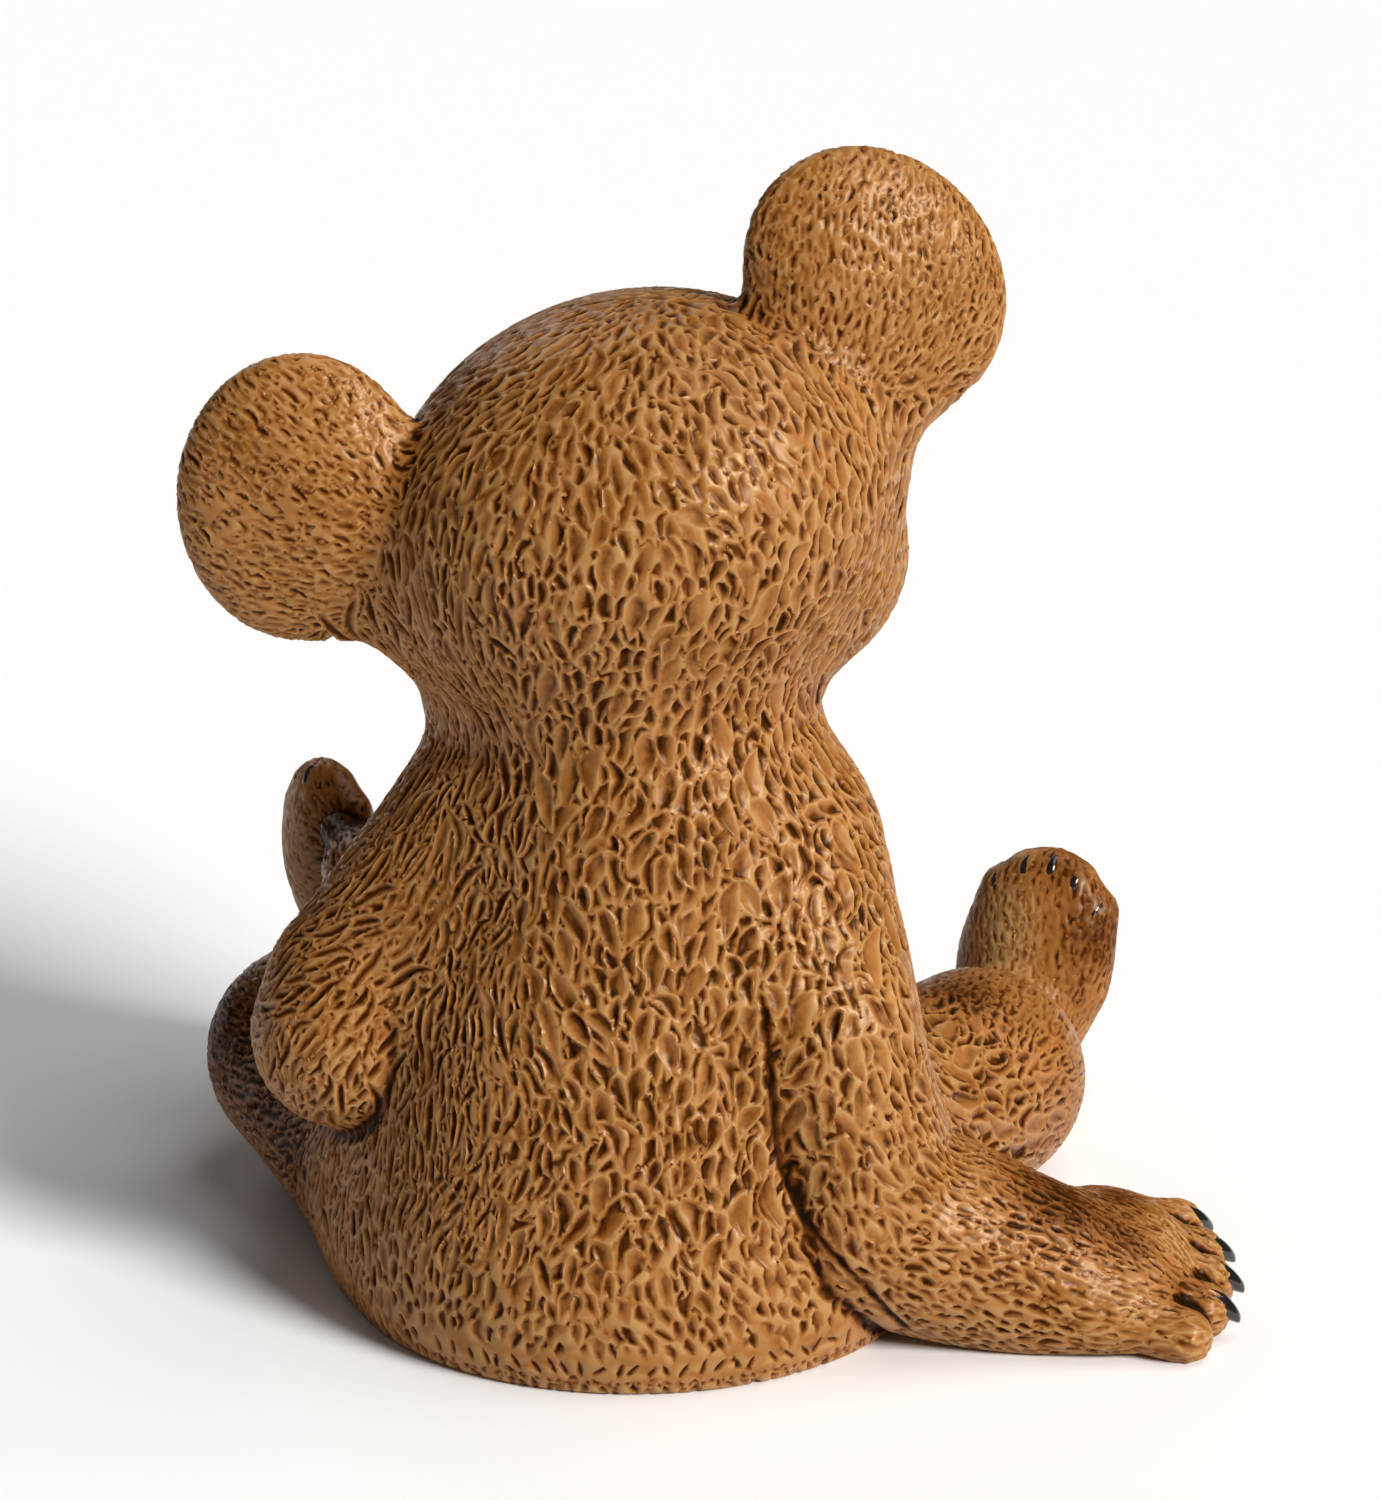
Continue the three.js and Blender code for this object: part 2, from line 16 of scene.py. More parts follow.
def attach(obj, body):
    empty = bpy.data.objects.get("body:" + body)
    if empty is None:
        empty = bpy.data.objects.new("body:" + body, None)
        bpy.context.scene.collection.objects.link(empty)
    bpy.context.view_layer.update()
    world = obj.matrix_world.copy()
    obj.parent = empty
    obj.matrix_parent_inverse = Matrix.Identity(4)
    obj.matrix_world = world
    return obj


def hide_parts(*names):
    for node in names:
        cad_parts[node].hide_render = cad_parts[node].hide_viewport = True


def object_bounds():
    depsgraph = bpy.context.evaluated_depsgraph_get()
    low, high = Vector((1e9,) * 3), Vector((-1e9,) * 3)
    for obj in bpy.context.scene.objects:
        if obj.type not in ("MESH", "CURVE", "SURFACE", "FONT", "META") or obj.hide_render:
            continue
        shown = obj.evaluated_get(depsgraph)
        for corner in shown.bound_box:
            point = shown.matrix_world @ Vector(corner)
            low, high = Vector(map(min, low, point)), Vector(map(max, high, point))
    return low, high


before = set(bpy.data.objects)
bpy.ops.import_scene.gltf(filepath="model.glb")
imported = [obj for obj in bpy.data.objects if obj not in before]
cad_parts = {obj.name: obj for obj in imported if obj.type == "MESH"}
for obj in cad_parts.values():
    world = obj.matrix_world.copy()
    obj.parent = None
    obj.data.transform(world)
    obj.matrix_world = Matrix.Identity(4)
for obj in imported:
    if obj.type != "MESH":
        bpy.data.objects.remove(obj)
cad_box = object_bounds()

MM = 0.001
SIDES = (-1, 1)
ROUGH_VOXEL = 1.2
FINE_VOXEL = 0.34

# How many triangles the skin keeps in each of its zones.
REST_TRIANGLES = 102000
HIDDEN_TRIANGLES = 50000
EAR_TRIANGLES = 24000
PAW_TRIANGLES = 18000

# How often the skin is smoothed over to find its folds and the hollows of its strokes.
FOLD_ROUNDS = 12
HOLLOW_ROUNDS = 5

# The photograph's view.
VIEW_TILT = math.radians(20)
VIEW_DISTANCE = 900
VIEW_TARGET = (6, 0, 76)
VIEW_LENS = 162
TOWARDS_CAMERA = np.array((0, -math.cos(VIEW_TILT), math.sin(VIEW_TILT)))

FLOOR_ROUNDING = 1.2
LID_RADIUS = 4.4
EYE_RADIUS = 3.4
EYE_ASIDE = 12.5
EYE_HEIGHT = 5
NOSE_HEIGHT = -4
CLAW_ROOT = 0.3

# Strokes are tried at this many random points, first the large ones and then small ones between.
LARGE_TRIES = 80000
SMALL_TRIES = 40000
SMALL_SIZE = 0.7
SMALL_ROOM = 0.95
STROKE_CELL = 8

# The smooth band low on the rump, from one height to another, and the rows of marks on it. Each
# row has a height, a count, and the half-length, half-width and depth of its marks.
BAND = (1.6, 6.8)
MARK_ROWS = ((4.3, 27, 1.5, 0.42, 0.42), (1.9, 44, 0.6, 0.4, 0.3))

# A stroke is leaf-shaped, with pointed ends, where this is below 2, and an oval at 2.
LEAF_POWER = 1.6

rng = np.random.default_rng(11)


def turned(origin, degrees=(0, 0, 0)):
    """A frame at a place, turned about X, then Y, then Z."""
    turn = Euler([math.radians(d) for d in degrees])
    return Matrix.Translation(origin) @ turn.to_matrix().to_4x4()


def facing(origin, forward, up):
    """A frame at a place whose Y axis looks forward."""
    y = Vector(forward).normalized()
    x = y.cross(Vector(up)).normalized()
    axes = Matrix((x, y, x.cross(y))).transposed().to_4x4()
    return Matrix.Translation(origin) @ axes


def spot(where, place=(0, 0, 0)):
    """Where a place in a frame lies in the world."""
    return np.array(where @ Vector(place))


WORLD = turned((0, 0, 0))
HEAD = turned((-1, 5, 106), (-6, -19, 8))
RIGHT_HAND = facing((51, -15.5, 8), (1, 0, -0.08), (0.05, -0.22, 1))
RIGHT_FOOT = facing((52.5, 60, 4), (0.19, 0.1, 0.97), (-0.35, -0.93, 0.1))
LEFT_FOOT = facing((-42.6, 64, 19), (-0.17, 0.03, 1), (-0.82, -0.55, 0.12))
LEFT_HAND = facing((-37.5, 37, 38), (-0.06, 1, 0.05), (0.75, -0.1, 0.65))


# The form. Each lump is a mesh in the scene and a distance that melts it into the others.

lumps = []
form = []


def only(*objects):
    """Selects these objects and nothing else, with the first one active."""
    bpy.ops.object.select_all(action="DESELECT")
    for o in objects:
        o.select_set(True)
    bpy.context.view_layer.objects.active = objects[0]


def egg(melt, at, size, within=WORLD, turn=(0, 0, 0), hollow=False):
    """An egg with three half-widths, added to the form, or taken from it where it is hollow."""
    place = within @ turned(at, turn)
    axes, centre, size = np.array(place.to_3x3()), spot(place), np.array(size, float)

    def distance(p):
        u = (p - centre) @ axes / size
        near = np.linalg.norm(u, axis=1)
        steep = np.linalg.norm(u / size, axis=1)
        return near * (near - 1) / np.maximum(steep, 1e-6)

    form.append((distance, melt, hollow, centre, size.max()))
    if not hollow:
        bpy.ops.mesh.primitive_uv_sphere_add(
            segments=40, ring_count=20, radius=MM, scale=size,
            location=place.translation * MM, rotation=place.to_euler(),
        )
        lumps.append(bpy.context.object)


def limb(melt, start, start_radius, end, end_radius):
    """A limb that is round at both ends: a ball whose upper half is moved to the other end."""
    start, end = np.array(start, float), np.array(end, float)
    axis = end - start
    long = axis @ axis
    taper = start_radius - end_radius
    cone = long - taper * taper

    def distance(p):
        offset = p - start
        along = offset @ axis
        past = along - long
        off = offset * long - np.outer(along, axis)
        side = (off * off).sum(axis=1)
        limit = np.sign(taper) * taper * taper * side
        beyond, before = past * past * long, along * along * long
        middle = (np.sqrt(side * cone / long) + along * taper) / long - start_radius
        middle = np.where(np.sign(along) * cone * before < limit,
                          np.sqrt(side + before) / long - start_radius, middle)
        return np.where(np.sign(past) * cone * beyond > limit,
                        np.sqrt(side + beyond) / long - end_radius, middle)

    reach = math.sqrt(long) / 2 + max(start_radius, end_radius)
    form.append((distance, melt, False, (start + end) / 2, reach))
    bpy.ops.mesh.primitive_uv_sphere_add(
        segments=32, ring_count=16, radius=start_radius * MM, location=start * MM,
        rotation=Vector(axis).to_track_quat("Z", "Y").to_euler(),
    )
    bpy.ops.object.mode_set(mode="EDIT")
    mesh = bmesh.from_edit_mesh(bpy.context.object.data)
    for v in mesh.verts:
        v.select = v.co.z > -1e-6
    mesh.select_flush_mode()
    bmesh.update_edit_mesh(bpy.context.object.data)
    bpy.ops.transform.resize(value=[end_radius / start_radius] * 3, center_override=start * MM)
    bpy.ops.transform.translate(value=axis * MM)
    bpy.ops.object.mode_set(mode="OBJECT")
    lumps.append(bpy.context.object)


def trunk():
    """Rump, belly, chest and neck."""
    egg(10, (-1.5, -2, 9), (41, 39.8, 30))
    egg(14, (-1, 1, 34), (37.5, 36, 32))
    egg(14, (-0.5, 1, 61), (26, 27, 29))
    limb(10, (0, 0, 72), 22, (-1, 3, 88), 22.5)


def arms():
    """The right arm, propped beside the body, and the left arm, bent forward."""
    limb(8, (17, -3, 63), 14.5, (22.5, -16, 44), 13.8)
    limb(1.2, (23, -18, 42), 13.5, (28, -20, 20), 14.5)
    limb(1.2, (28, -19, 18), 15, (52, -18, 8), 12.5)
    limb(8, (-20, 0, 64), 15, (-38, -4, 44), 12.5)
    limb(2, (-38.5, -5, 43), 12.5, (-40, -6, 38), 12.8)
    limb(2, (-40, -6, 38), 12.5, (-38, 34, 34), 10)


def legs():
    """Thigh and shin of the right leg and of the left leg."""
    limb(8, (24, 6, 12), 18.5, (46.3, 35, 14.2), 15.5)
    limb(3, (46, 35, 11), 12, (51.5, 58, 11), 9.5)
    limb(8, (-26, 4, 12), 19.5, (-46.8, 36, 17.4), 15.3)
    limb(4, (-46.5, 36, 17.5), 13.5, (-41, 62, 21), 9)


def head():
    """Skull, forehead, cheeks, muzzle, chin and brows."""
    egg(8, (0, -2, 2.2), (35.5, 31, 28), HEAD)
    egg(8, (0, 13, 9), (25, 19, 18), HEAD)
    for side in SIDES:
        egg(8, (side * 17.5, 7, -13.5), (16, 17, 15), HEAD)
    egg(7, (0, 27, -8.5), (15, 19, 11.5), HEAD)
    egg(4, (0, 25, -16.5), (10.5, 14, 7.5), HEAD)
    for side in SIDES:
        egg(6, (side * 11, 24, 12), (8, 7, 6), HEAD)


def ears():
    """Round ears, each with a root that joins the head and a dish in front."""
    for side in SIDES:
        turn = (0, -side * 22, side * 8)
        egg(4, (side * 40.2, -3, 20), (16.5, 6.2, 19.5), HEAD, turn)
        egg(8, (side * 32.5, -2, 10), (9, 7, 17), HEAD, (0, side * 14, 0))
        egg(2, (side * 41.5, 5, 21), (12.5, 6, 14.5), HEAD, turn, hollow=True)


nail_beds = []


def paw(where, length, width, thick, palm, spread, melt, clawed, claw):
    """A palm and five toes side by side along the frame's Y axis."""
    radius = width * 0.13
    egg(4, (0, length * palm[0], 0), (width * 0.5, length * palm[1], thick), where)
    for i in range(5):
        share = (i - 2) / 2
        root = (share * width * 0.32, length * 0.5, 0)
        tip = (share * width * spread, length * (0.98 - 0.14 * share * share), -1)
        limb(melt, spot(where, root), radius, spot(where, tip), radius)
        if clawed[i]:
            long, wide, rise, ahead, above = claw
            bed = (tip[0], tip[1] + radius * ahead, tip[2] + radius * above)
            nail_beds.append((where @ turned(bed, (rise, 0, -share * 17)), long, wide))


def paws():
    """Two hands and two feet, with claws on all the toes that show one.

    A palm is given by how far along the paw it lies and how long it is, as shares of the paw's
    length. A claw is given by its length, width and rise, and by how far it stands ahead of the
    toe's end and above it, as shares of the toe's radius.
    """
    all_toes = (1, 1, 1, 1, 1)
    nearest_bare = (1, 1, 1, 1, 0)
    hand, foot = ((0.42, 0.52), 0.4, 1.5), ((0.53, 0.47), 0.33, 3)
    flat_claw = (3.4, 1, -8, 0.15, 1.05)
    paw(RIGHT_HAND, 25, 31, 8.5, *hand, nearest_bare, (6.2, 2.1, 0, 0.35, 0.45))
    paw(RIGHT_FOOT, 32, 22.5, 7, *foot, all_toes, flat_claw)
    paw(LEFT_FOOT, 30, 19.5, 6.2, *foot, all_toes, flat_claw)
    paw(LEFT_HAND, 22, 19, 7, *hand, all_toes, (5, 1.5, 0, 0.35, 0.45))


def field(p):
    """How far each point lies outside the melted form, cut off flat at the floor."""
    d = np.full(len(p), 60.0)
    for distance, melt, hollow, centre, reach in form:
        off = p - centre
        near = np.flatnonzero(np.einsum("ij,ij->i", off, off) < (reach + melt + 6) ** 2)
        e = distance(p[near])
        d[near] = melted(d[near], -e, melt, 1) if hollow else melted(d[near], e, melt, -1)
    return melted(d, -p[:, 2], FLOOR_ROUNDING, 1)


def melted(d, e, melt, way):
    """The greater of two distances, or with way -1 the lesser, running into each other."""
    bulge = np.maximum(melt - np.abs(d - e), 0) ** 2 / (4 * melt)
    return np.maximum(d, e) + bulge if way > 0 else np.minimum(d, e) - bulge


def slope(p, step=0.2):
    """The direction straight out of the form."""
    out = np.stack([field(p + step * axis) - field(p - step * axis) for axis in np.eye(3)], axis=1)
    return unit(out)


def unit(v):
    return v / np.maximum(np.linalg.norm(v, axis=1, keepdims=True), 1e-9)


# The mesh of the skin as arrays in millimetres.

def points_of(piece):
    """Where the piece's vertices are."""
    flat = np.empty(len(piece.data.vertices) * 3, np.float32)
    piece.data.vertices.foreach_get("co", flat)
    return flat.reshape(-1, 3).astype(float) / MM


def normals_of(piece):
    """Which way the skin faces at each vertex."""
    flat = np.empty(len(piece.data.vertices) * 3, np.float32)
    piece.data.vertex_normals.foreach_get("vector", flat)
    return flat.reshape(-1, 3).astype(float)


def put_points(piece, points):
    """Moves the piece's vertices."""
    piece.data.vertices.foreach_set("co", (points * MM).astype(np.float32).ravel())
    piece.data.update()


def finished(piece, kind, **settings):
    """Applies one modifier to a piece."""
    only(piece)
    bpy.ops.object.modifier_add(type=kind)
    modifier = piece.modifiers[-1]
    for name, value in settings.items():
        setattr(modifier, name, value)
    bpy.ops.object.modifier_apply(modifier=modifier.name)


def melted_skin():
    """The lumps as one skin that follows the melted form."""
    only(*lumps)
    bpy.ops.object.join()
    skin = bpy.context.object
    bpy.ops.object.transform_apply()
    finished(skin, "REMESH", mode="VOXEL", voxel_size=ROUGH_VOXEL * MM)
    only(skin)
    bpy.ops.object.mode_set(mode="EDIT")
    bpy.ops.mesh.select_all(action="SELECT")
    bpy.ops.mesh.bisect(plane_co=(0, 0, 0), plane_no=(0, 0, -1), use_fill=True, clear_outer=True)
    bpy.ops.object.mode_set(mode="OBJECT")
    points = points_of(skin)
    for _ in range(6):
        points = points - slope(points) * field(points)[:, None]
    put_points(skin, points)
    finished(skin, "REMESH", mode="VOXEL", voxel_size=FINE_VOXEL * MM)
    for _ in range(3):
        points = points_of(skin)
        put_points(skin, points - normals_of(skin) * np.clip(field(points), -0.5, 0.5)[:, None])
    return skin


# Fur. It grows down the trunk and the head, and along the limbs towards the paws.

# Each line of growth: where it starts, where it ends and how wide the fur around it follows it.
GROWTH = (
    ((0, 0, 120), (0, -6, 10), 34),
    ((19, -2, 64), (26, -13, 28), 17),
    ((28, -13, 24), (60, -16, 8), 20),
    ((-20, 0, 64), (-44, -4, 36), 15),
    ((-41, -3, 36), (-38, 40, 40), 13),
    ((24, 6, 20), (46, 36, 15), 15),
    ((46, 36, 15), (54, 60, 10), 13),
    ((-25, 6, 20), (-48, 36, 17), 15),
    ((-48, 36, 17), (-47, 64, 24), 12),
)


def ramp(v, low, high):
    """Rises from 0 at the low value to 1 at the high one."""
    return np.clip((v - low) / (high - low), 0, 1)


def far_from(p, place):
    return np.linalg.norm(p - place, axis=1)


def in_head(p):
    """The points in the head's own frame."""
    return (p - spot(HEAD)) @ np.array(HEAD.to_3x3())


def from_ear(p, side):
    """How far each point lies from the middle of an ear."""
    return far_from(p, spot(HEAD, (side * 43, -1, 23)))


def growth(p, n):
    """The direction of the fur at points of the skin, along the skin."""
    way = np.zeros_like(p)
    for start, end, reach in GROWTH:
        start, axis = np.array(start, float), np.subtract(end, start).astype(float)
        t = np.clip((p - start) @ axis / (axis @ axis), 0, 1)
        off = np.linalg.norm(p - start - t[:, None] * axis, axis=1) / reach
        way += axis / np.linalg.norm(axis) / (1 + off[:, None] ** 8)
    h = in_head(p)
    nose = spot(HEAD, (0, 44, -4))
    face = ramp(h[:, 1], 8, 22) * ramp(p[:, 2], 78, 84)
    way = way * (1 - face[:, None]) + unit(p - nose) * face[:, None]
    for side in SIDES:
        root = spot(HEAD, (side * 24, -3, 4))
        ear = 1 - ramp(from_ear(p, side), 17, 22)
        way = way * (1 - ear[:, None]) + unit(p - root) * ear[:, None]
    for where in (RIGHT_HAND, RIGHT_FOOT, LEFT_FOOT, LEFT_HAND):
        forward = np.array(where.to_3x3().col[1])
        toes = 1 - ramp(far_from(p, spot(where) + forward * 16), 13, 20)
        way = way * (1 - toes[:, None]) + forward * toes[:, None]
    return along_skin(way, n)


def along_skin(way, n):
    """The part of each direction that lies along the skin."""
    return unit(way - n * (way * n).sum(axis=1)[:, None])


def swirled(way, n, p, loose):
    """Turns each direction about the skin's normal: a slow swirl, and a spread of its own."""
    x, y, z = p.T
    slow = np.sin(x / 7.5 + z / 17) + np.sin(z / 9.5 - x / 13 + 2) + 0.6 * np.sin(y / 6 + z / 7)
    angle = np.radians(11) * slow + np.radians(loose * rng.standard_normal(len(p)))
    side = np.cross(n, way)
    return way * np.cos(angle)[:, None] + side * np.sin(angle)[:, None]


def blended(base, other, share):
    """One set of sizes that turns into another."""
    return tuple(b * (1 - share) + o * share for b, o in zip(base, other))


def fur_sizes(p, n):
    """Half-length, half-width, depth and spacing of the strokes at points of the skin."""
    h = in_head(p)
    front = ramp(-(n @ TOWARDS_CAMERA), -0.1, 0.4)
    sizes = blended((3.0, 1.15, 0.62, 0.54), (3.4, 1.6, 0.6, 0.7), front)
    left = (1 - ramp(p[:, 0], -22, -8)) * (1 - front)
    sizes = blended(sizes, (3.8, 0.64, 0.52, 0.5), left)
    arm = 1 - ramp(far_from(p, np.array((40, -20, 14))), 14, 30)
    sizes = blended(sizes, (2.1, 0.62, 0.4, 0.58), arm)
    leg = ramp(p[:, 1], 20, 28) * (1 - ramp(p[:, 2], 44, 50))
    sizes = blended(sizes, (2.0, 0.4, 0.26, 0.5), leg)
    low = (1 - ramp(p[:, 2], 9, 24)) * (1 - ramp(p[:, 1], 4, 20)) * (1 - ramp(np.abs(p[:, 0]), 34, 40))
    sizes = blended(sizes, (1.6, 0.8, 0.46, 0.86), low)
    under = 1 - ramp(far_from(p, np.array((44, -24, 2))), 14, 24)
    sizes = blended(sizes, (1.4, 0.62, 0.42, 0.84), under * (1 - ramp(p[:, 2], 6, 16)))
    crown = ramp(p[:, 2], 100, 116)
    sizes = blended(sizes, (2.5, 0.9, 0.46, 0.68), crown)
    face = ramp(h[:, 1], 10, 22) * ramp(p[:, 2], 78, 84)
    sizes = blended(sizes, (2.0, 0.75, 0.34, 0.8), face)
    for side in SIDES:
        ear = 1 - ramp(from_ear(p, side), 18, 22)
        sizes = blended(sizes, (1.6, 0.46, 0.3, 0.6), ear)
    for where, along, size in (
        (RIGHT_HAND, 14, (2.4, 0.48, 0.3, 0.62)), (LEFT_HAND, 11, (2.4, 0.5, 0.3, 0.7)),
        (RIGHT_FOOT, 16, (1.8, 0.4, 0.2, 0.6)), (LEFT_FOOT, 15, (1.8, 0.4, 0.2, 0.64)),
    ):
        forward = np.array(where.to_3x3().col[1])
        near = 1 - ramp(far_from(p, spot(where) + forward * along), 15, 21)
        sizes = blended(sizes, size, near)
    return sizes


def furred(p, n):
    """True where strokes are cut: not under the base, nor on the nose, the eyes or the soles."""
    keep = p[:, 2] > 0.7
    keep &= far_from(p, spot(HEAD, (0, 43, -5))) > 9
    for side in SIDES:
        keep &= far_from(p, spot(HEAD, on_face(side * EYE_ASIDE, EYE_HEIGHT))) > 5.5
    for where in (RIGHT_FOOT, LEFT_FOOT):
        up = np.array(where.to_3x3().col[2])
        forward = np.array(where.to_3x3().col[1])
        sole = (far_from(p, spot(where) + forward * 14) < 22) & (n @ up < -0.35)
        keep &= ~sole
    band = (p[:, 1] < -20) & (p[:, 2] > BAND[0]) & (p[:, 2] < BAND[1]) & (np.abs(p[:, 0] - 2) < 32)
    return keep & ~band


def on_face(x, z):
    """The point of the face straight ahead of a place in the head."""
    ahead = np.arange(60, 0, -0.1)
    line = np.array([spot(HEAD, (x, y, z)) for y in ahead])
    return (x, ahead[np.argmax(field(line) < 0)], z)


def scattered(points, normals, tries, shrink, tighten, strokes):
    """Places strokes one by one at random points of the skin, each clear of the ones before.

    They are kept by cells, so that each is only compared with its neighbours.
    """
    picked = rng.permutation(len(points))[:tries]
    p, n = points[picked], normals[picked]
    keep = furred(p, n)
    p, n = p[keep], n[keep]
    long, wide, deep, room = fur_sizes(p, n)

    def vary(low, high):
        return rng.uniform(low, high, len(p))

    size = vary(0.78, 1.3) * shrink
    long = long * size * vary(0.8, 1.2)
    wide = wide * size
    deep = deep * vary(0.7, 1.15)
    room = room * tighten
    loose = 6 + 9 * ramp(deep, 0.2, 0.55)
    way = along_skin(swirled(growth(p, n), n, p, loose), n)
    rows = zip(p.tolist(), way.tolist(), n.tolist(), long, wide, deep * shrink, room)
    for at, aim, out, l, w, d, r in rows:
        i, j, k = (int(v // STROKE_CELL) for v in at)
        near = [s for a in (i - 1, i, i + 1) for b in (j - 1, j, j + 1) for c in (k - 1, k, k + 1)
                for s in strokes.get((a, b, c), ())]
        if all(apart(at, aim, out, l, w, r, s) for s in near):
            strokes.setdefault((i, j, k), []).append((at, aim, out, l, w, d))


def apart(at, aim, out, long, wide, room, stroke):
    """True where a new stroke stands clear of one that is there, or faces another way."""
    other, _, facing_out, l, w, _ = stroke
    x, y, z = at[0] - other[0], at[1] - other[1], at[2] - other[2]
    along = x * aim[0] + y * aim[1] + z * aim[2]
    across = x * x + y * y + z * z - along * along
    if (along / (long + l)) ** 2 + across / (wide + w) ** 2 > room * room:
        return True
    return out[0] * facing_out[0] + out[1] * facing_out[1] + out[2] * facing_out[2] < 0.2


class Relief:
    """How high each point of the skin stands over the form, and how dark the wash and painted shade are
    there.
    """

    CELL = 3.0

    def __init__(self, points, normals):
        self.points, self.normals = points, normals
        self.high, self.wash_and_shade = np.zeros((2, len(points)))
        cells = np.floor(points / self.CELL).astype(int)
        self.order = np.lexsort(cells.T)
        cells = cells[self.order]
        edges = np.flatnonzero(np.any(np.diff(cells, axis=0), axis=1)) + 1
        starts, ends = np.append(0, edges), np.append(edges, len(cells))
        self.slices = {tuple(cells[s]): (s, e) for s, e in zip(starts, ends)}

    def near(self, at, reach):
        """The points in the cells around a place."""
        low = np.floor((at - reach) / self.CELL).astype(int)
        high = np.floor((at + reach) / self.CELL).astype(int)
        found = []
        for i in range(low[0], high[0] + 1):
            for j in range(low[1], high[1] + 1):
                for k in range(low[2], high[2] + 1):
                    if (i, j, k) in self.slices:
                        s, e = self.slices[i, j, k]
                        found.append(self.order[s:e])
        return np.concatenate(found) if found else np.zeros(0, int)

    def stroke(self, at, way, out, long, wide, deep,
               bend=0, twist=0, lean=0, taper=0.3, rim=0.08, dark=0.6):
        """One scoop pressed over what is there: bent, narrower at its end, with a rim around it.

        It is steeper on the side that it leans to, and that side holds a line of dark wash.
        """
        at, way, out = np.array(at), np.array(way), np.array(out)
        near = self.near(at, long * 1.2)
        offset = self.points[near] - at
        a = offset @ way / long
        good = (np.abs(a) < 1.25) & (np.abs(offset @ out) < 2.5) & (self.normals[near] @ out > 0.1)
        near, offset, a = near[good], offset[good], a[good]
        if not len(near):
            return
        across = offset @ np.cross(out, way) - long * (bend * a * a + twist * a ** 3)
        width = wide * (1 - taper * a)
        v = across / width
        rho = np.sqrt(a * a + np.abs(v) ** LEAF_POWER)
        steep = np.hypot(2 * a / long, LEAF_POWER * np.abs(v) ** (LEAF_POWER - 1) / width)
        edge = (rho - 1) * 2 * rho / (steep + 1e-6)
        open_end = 1 - ramp(a, 0.3, 0.95)
        within = rho < 1
        inner = near[within]
        r, u = rho[within], v[within]
        bowl = (1 - r * r) ** 0.75 * (1 + lean * u) * (1 - 0.3 * a[within])
        self.high[inner] = rim * ramp(r, 0.75, 1) ** 2 * open_end[within] - deep * bowl
        line = np.exp(-(((r - 0.84) / 0.16) ** 2)) * ramp(u * np.sign(lean), 0.1, 0.6)
        self.wash_and_shade[inner] = dark * line
        around = (~within) & (edge < 0.7)
        outer = near[around]
        wall = (rim + 0.04) * open_end[around] - 0.04 - 1.1 * edge[around]
        self.high[outer] = np.maximum(self.high[outer], wall)
        self.wash_and_shade[outer] *= ramp(edge[around], 0, 0.5)


def cut_fur(relief):
    """The strokes of the fur: small ones first, and larger ones over them in a random order."""
    strokes = {}
    scattered(relief.points, relief.normals, LARGE_TRIES, 1.0, 1.0, strokes)
    large = [s for cell in strokes.values() for s in cell]
    scattered(relief.points, relief.normals, SMALL_TRIES, SMALL_SIZE, SMALL_ROOM, strokes)
    known = set(map(id, large))
    small = [s for cell in strokes.values() for s in cell if id(s) not in known]
    order = small + [large[i] for i in rng.permutation(len(large))]
    for at, way, out, long, wide, deep in order:
        lean = rng.uniform(0.4, 0.9) * (1 if rng.random() < 0.3 else -1)
        bend = rng.normal(0, 0.22)
        twist = rng.normal(0, 0.26)
        taper = np.clip(rng.normal(0.4, 0.2), 0, 0.7)
        rim = rng.uniform(0, 0.25) * deep
        dark = rng.uniform(0, 1) ** 1.3
        relief.stroke(at, way, out, long, wide, deep, bend, twist, lean, taper, rim, dark)


def groove(relief, line, wide, deep):
    """A continuous groove along a line of points on the skin, darkened: wash in the mouth, and wash with
    painted shade in the arm's crease.
    """
    line = np.array(line, float)
    for a, b in zip(line[:-1], line[1:]):
        near = relief.near((a + b) / 2, np.linalg.norm(b - a) / 2 + wide)
        p = relief.points[near]
        t = np.clip((p - a) @ (b - a) / ((b - a) @ (b - a)), 0, 1)
        off = np.linalg.norm(p - a - t[:, None] * (b - a), axis=1) / wide
        near, off = near[off < 1], off[off < 1]
        bowl = 1 - off * off
        relief.high[near] = np.minimum(relief.high[near], -deep * bowl)
        relief.wash_and_shade[near] = np.maximum(relief.wash_and_shade[near], 0.8 * bowl)


def cut_face(relief):
    """The mouth, and a lid around each eye."""
    for side in SIDES:
        mouth = [(0, -8.6), (0, -12.5), (side * 3, -14.6), (side * 7, -15), (side * 10.5, -13)]
        groove(relief, [spot(HEAD, on_face(x, z)) for x, z in mouth], 0.75, 0.8)
        eye = spot(HEAD, on_face(side * EYE_ASIDE, EYE_HEIGHT))
        off = far_from(relief.points, eye)
        relief.high = np.where(off < LID_RADIUS, 0, relief.high)
        lid = 0.75 * np.exp(-(((off - LID_RADIUS) / 0.8) ** 2)) - 0.05 * off
        relief.high = np.maximum(relief.high, lid)


# Where the right arm lies against the body.
ARM_CREASE = (
    (15.7, -28.9, 50.4), (16.4, -30.9, 44.1), (17.1, -32.2, 34.8), (18.4, -33.2, 29.5),
    (20.4, -33.2, 23.8), (23, -33.2, 19.8), (25.7, -33.8, 16.9), (29.7, -32.6, 11.7), (34.5, -28.5, 5),
)


def cut_crease(relief):
    """The crease between the right arm and the body, darkened with wash and painted shade."""
    line = np.array(ARM_CREASE)
    for _ in range(4):
        line = line - slope(line) * field(line)[:, None]
    groove(relief, line, 0.8, 0.5)


